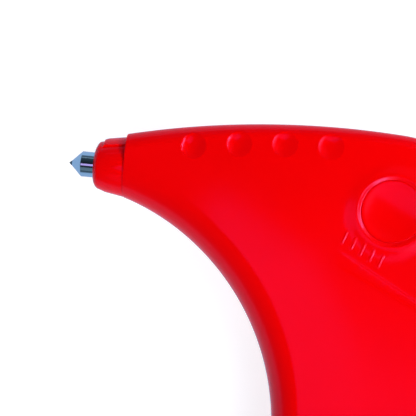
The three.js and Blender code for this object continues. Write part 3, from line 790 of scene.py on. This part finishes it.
RING_INNER_R = 5.78
RING_CREST_R = 6.44
RING_OUTER_R = 9.0
RING_FOOT = 0.06
RING_HEIGHT = 0.35
BAND = [Vector(corner) for corner in ((51.2, -10.3), (72, -21.3), (73.4, -23.6), (52.7, -14.5))]
BAND_DEPTH = 0.08
BAND_SLOPE = 0.6
BAND_STARTS_X = 51.5
BAND_FADES_OVER = 6
STROKE_COUNT = 5
FIRST_STROKE = Vector((53.8, -8.0))
STROKE_STEP = Vector((1.75, -0.93))
STROKE_RUN = Vector((-0.62, -1.8))
STROKE_HALF_WIDTH = 0.36
STROKE_HEIGHT = 0.11
STROKE_SLOPE = 0.34
ABOVE_SHELL = 14


def inside_distance(corners, x, y):
    """How far a point lies inside a convex outline, negative outside it."""
    nearest_side = math.inf
    middle = sum(corners, Vector((0, 0))) / len(corners)
    for a, b in zip(corners, corners[1:] + corners[:1]):
        normal = Vector((b.y - a.y, a.x - b.x)).normalized()
        if normal.dot(middle - a) < 0:
            normal.negate()
        nearest_side = min(nearest_side, normal.dot(Vector((x, y)) - a))
    return nearest_side


def raised(distance, height, slope):
    return height * smooth(distance / slope)


STROKES = [(FIRST_STROKE + STROKE_STEP * i, FIRST_STROKE + STROKE_STEP * i + STROKE_RUN)
           for i in range(STROKE_COUNT)]


def stroke_distance(x, y):
    """The distance from a point to the nearest raised stroke's middle line."""
    spot = Vector((x, y))
    found = math.inf
    for a, b in STROKES:
        part = nearest((spot - a).dot(b - a) / (b - a).length_squared, 0, 1)
        found = min(found, (spot - a.lerp(b, part)).length)
    return found


def left_relief(x, y):
    """The height of the left side over its plain skin: dimples, band, strokes and ring."""
    height = -dimple_depth(x, y)
    height -= (raised(inside_distance(BAND, x, y), BAND_DEPTH, BAND_SLOPE)
               * smooth((x - BAND_STARTS_X) / BAND_FADES_OVER))
    height += raised(STROKE_HALF_WIDTH - stroke_distance(x, y), STROKE_HEIGHT, STROKE_SLOPE)
    r = math.hypot(x - BUTTON[0], y - BUTTON[1])
    if r < RING_CREST_R:
        height += RING_FOOT + (RING_HEIGHT - RING_FOOT) * max(
            (r - RING_INNER_R) / (RING_CREST_R - RING_INNER_R), 0.0)
    else:
        height += RING_HEIGHT * (1 - smooth((r - RING_CREST_R) / (RING_OUTER_R - RING_CREST_R)))
    return height


def band_spot(x, y):
    return abs(inside_distance(BAND, x, y)) < 0.7


def stroke_spot(x, y):
    return stroke_distance(x, y) < 0.9


def ring_spot(x, y):
    return 4.9 < math.hypot(x - BUTTON[0], y - BUTTON[1]) < 7.4


left_shell = shell("left_shell_moulding", 1, left_relief,
                   [dimple_spot, band_spot, stroke_spot, ring_spot])
carve(left_shell, [rod_tool(BUTTON, RING_INNER_R, 4, ABOVE_SHELL, 128)])
outward(left_shell)
coat(left_shell, RED)
soften(left_shell)
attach(left_shell, "handle")
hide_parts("left_shell")

# ---- shell screws ----
# Five zinc-plated thread-forming screws with cross recesses, driven up from the right shell.

ZINC = surface("zinc_plating", ((0.62, 0.64, 0.66), (0.52, 0.54, 0.57)), (0.26, 0.38), 0.05,
               0.0012, 0.25, 1.0)
SCREW_HEAD_R = 2.5
SCREW_SHAFT_R = 1.4
SCREW_LENGTH = 12.0
SCREW_HEAD_HEIGHT = 1.8
SCREW_CORE_R = SCREW_SHAFT_R - 0.25
SCREW_CREST_R = SCREW_SHAFT_R - 0.02
THREAD_TURNS = 14
THREAD_PITCH = 0.75


def set_copies(first, copy_name, places, body, cad_name):
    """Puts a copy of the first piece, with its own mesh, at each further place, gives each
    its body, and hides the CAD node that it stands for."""
    for i, place in enumerate(places):
        piece = first
        if i > 0:
            piece = first.copy()
            piece.data = first.data.copy()
            piece.name = f"{copy_name}_{i + 1}"
            bpy.context.collection.objects.link(piece)
            piece.data.transform(Matrix.Translation((Vector(place) - Vector(places[0])) * MM))
        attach(piece, body)
        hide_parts(f"{cad_name}_{i + 1}")


x, y, low = SCREW_PLACES[0]
screw_profile = [(low, 0.1)] + rounded([
    (low, 1.0), (low + 0.5, SCREW_HEAD_R - 0.02), (low + SCREW_HEAD_HEIGHT, SCREW_HEAD_R - 0.02),
    (low + SCREW_HEAD_HEIGHT, SCREW_CORE_R)], 0.2)
for i in range(THREAD_TURNS):
    turn_at = low + 2.2 + i * THREAD_PITCH
    screw_profile += [(turn_at, SCREW_CORE_R), (turn_at + 0.3, SCREW_CREST_R),
                      (turn_at + 0.4, SCREW_CREST_R), (turn_at + 0.7, SCREW_CORE_R)]
screw_end = low + SCREW_HEAD_HEIGHT + SCREW_LENGTH
screw_profile += [(screw_end - 0.7, 0.9), (screw_end, 0.15)]
first_screw = turned("shell_screw_turning_1", screw_profile, (at(x, y, 0), ALONG_Z), 48)
recess = []
for size in ((3.0, 0.7, 2.0), (0.7, 3.0, 2.0)):
    bpy.ops.mesh.primitive_cube_add(size=1, scale=Vector(size) * MM, location=at(x, y, low))
    recess.append(done(bpy.context.object))
carve(first_screw, recess)
outward(first_screw)
coat(first_screw, ZINC)
soften(first_screw, 30)
set_copies(first_screw, "shell_screw_turning", SCREW_PLACES, "handle", "shell_screw")

# ---- bit tray ----
# A black nylon drawer in the grip: a floor, four walls, and two ribs with round rests for
# the spare bits.

TRAY_LOW, TRAY_HIGH = ((Vector(corner) - TIP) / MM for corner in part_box("bit_tray"))
TRAY_FLOOR = 1.6
TRAY_WALL = 1.2
TRAY_END_WALL = 4.0
RIB_PLACES_Y = (-67, -41)
RIB_THICKNESS = 2
REST_R = 2.7
CAP_SCREW_HOLE_R = 1.4
SPARE_PLACES = [((low.x + high.x) / 2, high.y, (low.z + high.z) / 2) for low, high in
                (((Vector(corner) - TIP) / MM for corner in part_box(f"spare_bit_{i}"))
                 for i in range(1, 4))]
CAP_SCREW_PLACES = [((low.x + high.x) / 2, low.y, (low.z + high.z) / 2) for low, high in
                    (((Vector(corner) - TIP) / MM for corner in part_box(f"tray_screw_{i}"))
                     for i in range(1, 3))]


def box_piece(name, low, high):
    """A box between two corners in millimetres from the bit's tip."""
    low, high = Vector(low), Vector(high)
    bpy.ops.mesh.primitive_cube_add(size=1, scale=(high - low) * MM,
                                    location=at(*((low + high) / 2)))
    piece = done(bpy.context.object)
    piece.name = name
    return piece


def rod_along_y(x, y0, y1, z, r, sides=48):
    bpy.ops.mesh.primitive_cylinder_add(vertices=sides, radius=r * MM, depth=(y1 - y0) * MM,
                                        location=at(x, (y0 + y1) / 2, z),
                                        rotation=(pi / 2, 0, 0))
    return done(bpy.context.object)


def bevel(piece, width, segments=2, angle=35):
    rim = piece.modifiers.new("rim", "BEVEL")
    rim.width = width * MM
    rim.segments = segments
    rim.limit_method = "ANGLE"
    rim.angle_limit = radians(angle)
    apply_all(piece)


bit_tray = box_piece("bit_tray_moulding", TRAY_LOW, TRAY_HIGH)
carve(bit_tray, [box_piece("pocket", TRAY_LOW + Vector((TRAY_WALL, TRAY_END_WALL, TRAY_FLOOR)),
                           (TRAY_HIGH.x - TRAY_WALL, TRAY_HIGH.y - TRAY_WALL, 9))])
rib_top = SPARE_PLACES[0][2] + 0.8
carve(bit_tray, [box_piece("rib", (TRAY_LOW.x + 0.5, y, TRAY_LOW.z + 0.5),
                           (TRAY_HIGH.x - 0.5, y + RIB_THICKNESS, rib_top))
                 for y in RIB_PLACES_Y], "UNION")
carve(bit_tray, [rod_along_y(x, RIB_PLACES_Y[0] - 1, RIB_PLACES_Y[1] + 3, z, REST_R)
                 for x, y, z in SPARE_PLACES])
carve(bit_tray, [rod_along_y(x, TRAY_LOW.y - 1, TRAY_LOW.y + 5, z, CAP_SCREW_HOLE_R, 32)
                 for x, y, z in CAP_SCREW_PLACES])
outward(bit_tray)
bevel(bit_tray, 0.18)
coat(bit_tray, DARK_PLASTIC)
soften(bit_tray, 30)
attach(bit_tray, "tray")
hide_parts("bit_tray")

# ---- spare bits ----
# Three ground steel blanks with coned ends, lying in the tray's rests.

SPARE_LENGTH = 36.0
x, tip_y, z = SPARE_PLACES[0]
spare_profile = [(0.05, 0.05)] + rounded([
    (0.05, 0.05), (2.38, 2.36), (SPARE_LENGTH - 0.5, 2.36), (SPARE_LENGTH, 1.9),
    (SPARE_LENGTH, 0.1)], 0.06)[1:]
first_spare = turned("spare_bit_turning_1", spare_profile, (at(x, tip_y, z), -ALONG_Y), 96)
coat(first_spare, SHANK_STEEL)
soften(first_spare, 25)
set_copies(first_spare, "spare_bit_turning", SPARE_PLACES, "tray", "spare_bit")

# ---- butt cap ----
# The end of the grip, moulded in red and screwed to the tray, so that it pulls the tray out.

CAP_COLUMNS = COLUMNS[:-1:2]
CAP_ROUNDING = 3.0
CAP_ROUNDING_ROWS = 13
CAP_SCREW_WELL_R = 2.3
cap_rows = [(CAP_TOP_Y, 0.15), (CAP_TOP_Y - 0.04, 0.05), (CAP_TOP_Y - 0.15, 0.0),
            (BUTT_Y + CAP_ROUNDING + 1, 0.0)]
for i in range(CAP_ROUNDING_ROWS):
    lean = i / (CAP_ROUNDING_ROWS - 1) * pi / 2
    cap_rows.append((BUTT_Y + CAP_ROUNDING * (1 - sin(lean)), CAP_ROUNDING * (1 - cos(lean))))
cap_around = [(v, 1) for v in CAP_COLUMNS] + [(1 - v, -1) for v in CAP_COLUMNS]
bpy.ops.mesh.primitive_circle_add(vertices=len(cap_around), radius=1, fill_type="NGON")
butt_cap = bpy.context.object
butt_cap.name = "butt_cap_moulding"
pick(butt_cap, "vertices", lambda vertex: True)
for row in cap_rows[1:]:
    bpy.ops.mesh.extrude_region_move(TRANSFORM_OT_translate={"value": (0, 0, 1)})
bpy.ops.object.mode_set(mode="OBJECT")
for vertex in butt_cap.data.vertices:
    turn = math.atan2(vertex.co.y, vertex.co.x) % (2 * pi)
    v, side = cap_around[round(turn / (2 * pi) * len(cap_around)) % len(cap_around)]
    y, inset = cap_rows[round(vertex.co.z)]
    spot = section_point(1.0, v, inset)
    vertex.co = at(spot.x, y, spot.z * side)
outward(butt_cap)
carve(butt_cap, [rod_along_y(x, BUTT_Y - 1, y + 1.7, z, CAP_SCREW_WELL_R)
                 for x, y, z in CAP_SCREW_PLACES])
carve(butt_cap, [rod_along_y(x, BUTT_Y - 1, CAP_TOP_Y + 1, z, CAP_SCREW_HOLE_R, 32)
                 for x, y, z in CAP_SCREW_PLACES])
outward(butt_cap)
coat(butt_cap, RED)
soften(butt_cap)
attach(butt_cap, "tray")
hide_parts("butt_cap")

# ---- tray screws ----
# Two small slotted screws that hold the cap to the tray.

TRAY_SCREW_HEAD_R = 1.98
TRAY_SCREW_HEAD_HEIGHT = 1.4
TRAY_SCREW_CORE_R = 0.9
TRAY_SCREW_CREST_R = 1.08
TRAY_THREAD_TURNS = 10
TRAY_THREAD_PITCH = 0.6
x, y, z = CAP_SCREW_PLACES[0]
tray_screw_profile = [(0.0, 0.1)] + rounded([
    (0.0, 1.5), (0.35, TRAY_SCREW_HEAD_R), (TRAY_SCREW_HEAD_HEIGHT, TRAY_SCREW_HEAD_R),
    (TRAY_SCREW_HEAD_HEIGHT, TRAY_SCREW_CORE_R)], 0.12)
for i in range(TRAY_THREAD_TURNS):
    turn_at = 1.7 + i * TRAY_THREAD_PITCH
    tray_screw_profile += [
        (turn_at, TRAY_SCREW_CORE_R), (turn_at + 0.25, TRAY_SCREW_CREST_R),
        (turn_at + 0.32, TRAY_SCREW_CREST_R), (turn_at + 0.55, TRAY_SCREW_CORE_R)]
tray_screw_profile += [(7.9, 0.85), (8.39, 0.15)]
first_tray_screw = turned("tray_screw_turning_1", tray_screw_profile, (at(x, y, z), ALONG_Y), 48)
bpy.ops.mesh.primitive_cube_add(size=1, scale=Vector((5, 1.2, 0.6)) * MM, location=at(x, y, z))
carve(first_tray_screw, [done(bpy.context.object)])
outward(first_tray_screw)
coat(first_tray_screw, ZINC)
soften(first_tray_screw, 30)
set_copies(first_tray_screw, "tray_screw_turning", CAP_SCREW_PLACES, "tray", "tray_screw")

# ---- the floor, the light and the camera ----
# A plain pale sheet of paper that glows a little, so that it stays white, and is left out of
# reflections. The tool is lit by a long narrow card high on the right with a wider, fainter
# one over it, four smaller cards, and a dim surround that is pale only near the horizon.

bpy.ops.mesh.primitive_plane_add(size=3, location=(0, 0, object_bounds()[0].z - 0.0002))
floor = bpy.context.object
floor.name = "paper_floor"
PAPER = surface("white_paper", ((0.34, 0.35, 0.36), (0.32, 0.33, 0.34)), (0.7, 0.8), 0.4,
                0.004, 0.02)
paper_shader = PAPER.node_tree.nodes["Principled BSDF"]
paper_shader.inputs["Emission Color"].default_value = (0.93, 0.97, 1.0, 1)
paper_shader.inputs["Emission Strength"].default_value = 0.85
coat(floor, PAPER)
floor.visible_glossy = False

world = bpy.data.worlds.new("studio")
bpy.context.scene.world = world
world.use_nodes = True
sky = world.node_tree
direction = link(sky, "ShaderNodeTexCoord").outputs["Generated"]
height = link(sky, "ShaderNodeSeparateXYZ", {"Vector": direction}).outputs["Z"]
ramp = link(sky, "ShaderNodeValToRGB", {"Fac": height})
for place, colour in ((0.0, (0.44, 0.53, 0.74)), (0.1, (0.14, 0.18, 0.24)),
                      (0.3, (0.08, 0.1, 0.13)), (0.8, (0.03, 0.04, 0.05)),
                      (1.0, (0.01, 0.011, 0.015))):
    stop = (ramp.color_ramp.elements[0] if place == 0.0 else
            ramp.color_ramp.elements[-1] if place == 1.0 else
            ramp.color_ramp.elements.new(place))
    stop.position = place
    stop.color = (*colour, 1)
sky.links.new(ramp.outputs["Color"], sky.nodes["Background"].inputs["Color"])

MIDDLE = at(27.1, -6.05, 0)


def card(name, azimuth, elevation, distance, width, height, power, colour=(1, 1, 1)):
    """A soft light card that faces the tool. Azimuth is measured from +X towards +Y."""
    away = Vector((cos(radians(elevation)) * cos(radians(azimuth)),
                   cos(radians(elevation)) * sin(radians(azimuth)), sin(radians(elevation))))
    bpy.ops.object.light_add(type="AREA", location=MIDDLE + away * distance)
    lamp = bpy.context.object
    lamp.name = name
    lamp.rotation_euler = away.to_track_quat("Z", "Y").to_euler()
    lamp.data.shape = "RECTANGLE"
    lamp.data.size = width
    lamp.data.size_y = height
    lamp.data.energy = power
    lamp.data.color = colour
    return lamp


# Angles in degrees, distances and sizes in metres, power in watts. The last card only fills,
# and is left out of reflections.
card("key_card", -20, 54, 1.8, 4.4, 0.3, 48, (1.0, 0.98, 0.97))
card("key_skirt", -20, 62, 1.8, 4.0, 0.65, 13, (1.0, 0.98, 0.97))
card("strip_card", 95, 27, 0.9, 0.9, 0.07, 0.09, (0.85, 0.93, 1.0))
card("front_card", 265, 42, 0.9, 0.9, 0.5, 0.25, (0.75, 0.88, 1.0))
card("sheen_card", 246, 78.8, 1.2, 0.95, 0.31, 0.95, (0.9, 0.5, 1.0))
top_fill = card("top_fill", 60, 55, 1.8, 1.2, 1.2, 6.5)
top_fill.visible_glossy = False

CAMERA_ROLL = radians(5.5)
CAMERA_LEAN = radians(5)
CAMERA_DISTANCE = 430
SEEN_WIDTH = 78.49
SENSOR_WIDTH = 36
bpy.ops.object.camera_add()
camera = bpy.context.object
across = Vector((cos(CAMERA_ROLL), sin(CAMERA_ROLL), 0))
up = Vector((-sin(CAMERA_ROLL), cos(CAMERA_ROLL), 0))
back = across * sin(CAMERA_LEAN) + Vector((0, 0, cos(CAMERA_LEAN)))
side_axis = across * cos(CAMERA_LEAN) - Vector((0, 0, sin(CAMERA_LEAN)))
camera.matrix_world = Matrix.Translation(MIDDLE + back * CAMERA_DISTANCE * MM) @ Matrix(
    (side_axis, up, back)).transposed().to_4x4()
camera.data.sensor_width = SENSOR_WIDTH
camera.data.lens = SENSOR_WIDTH * CAMERA_DISTANCE / SEEN_WIDTH
camera.data.clip_start = 0.01
bpy.context.scene.camera = camera
bpy.context.scene.view_settings.view_transform = "Standard"
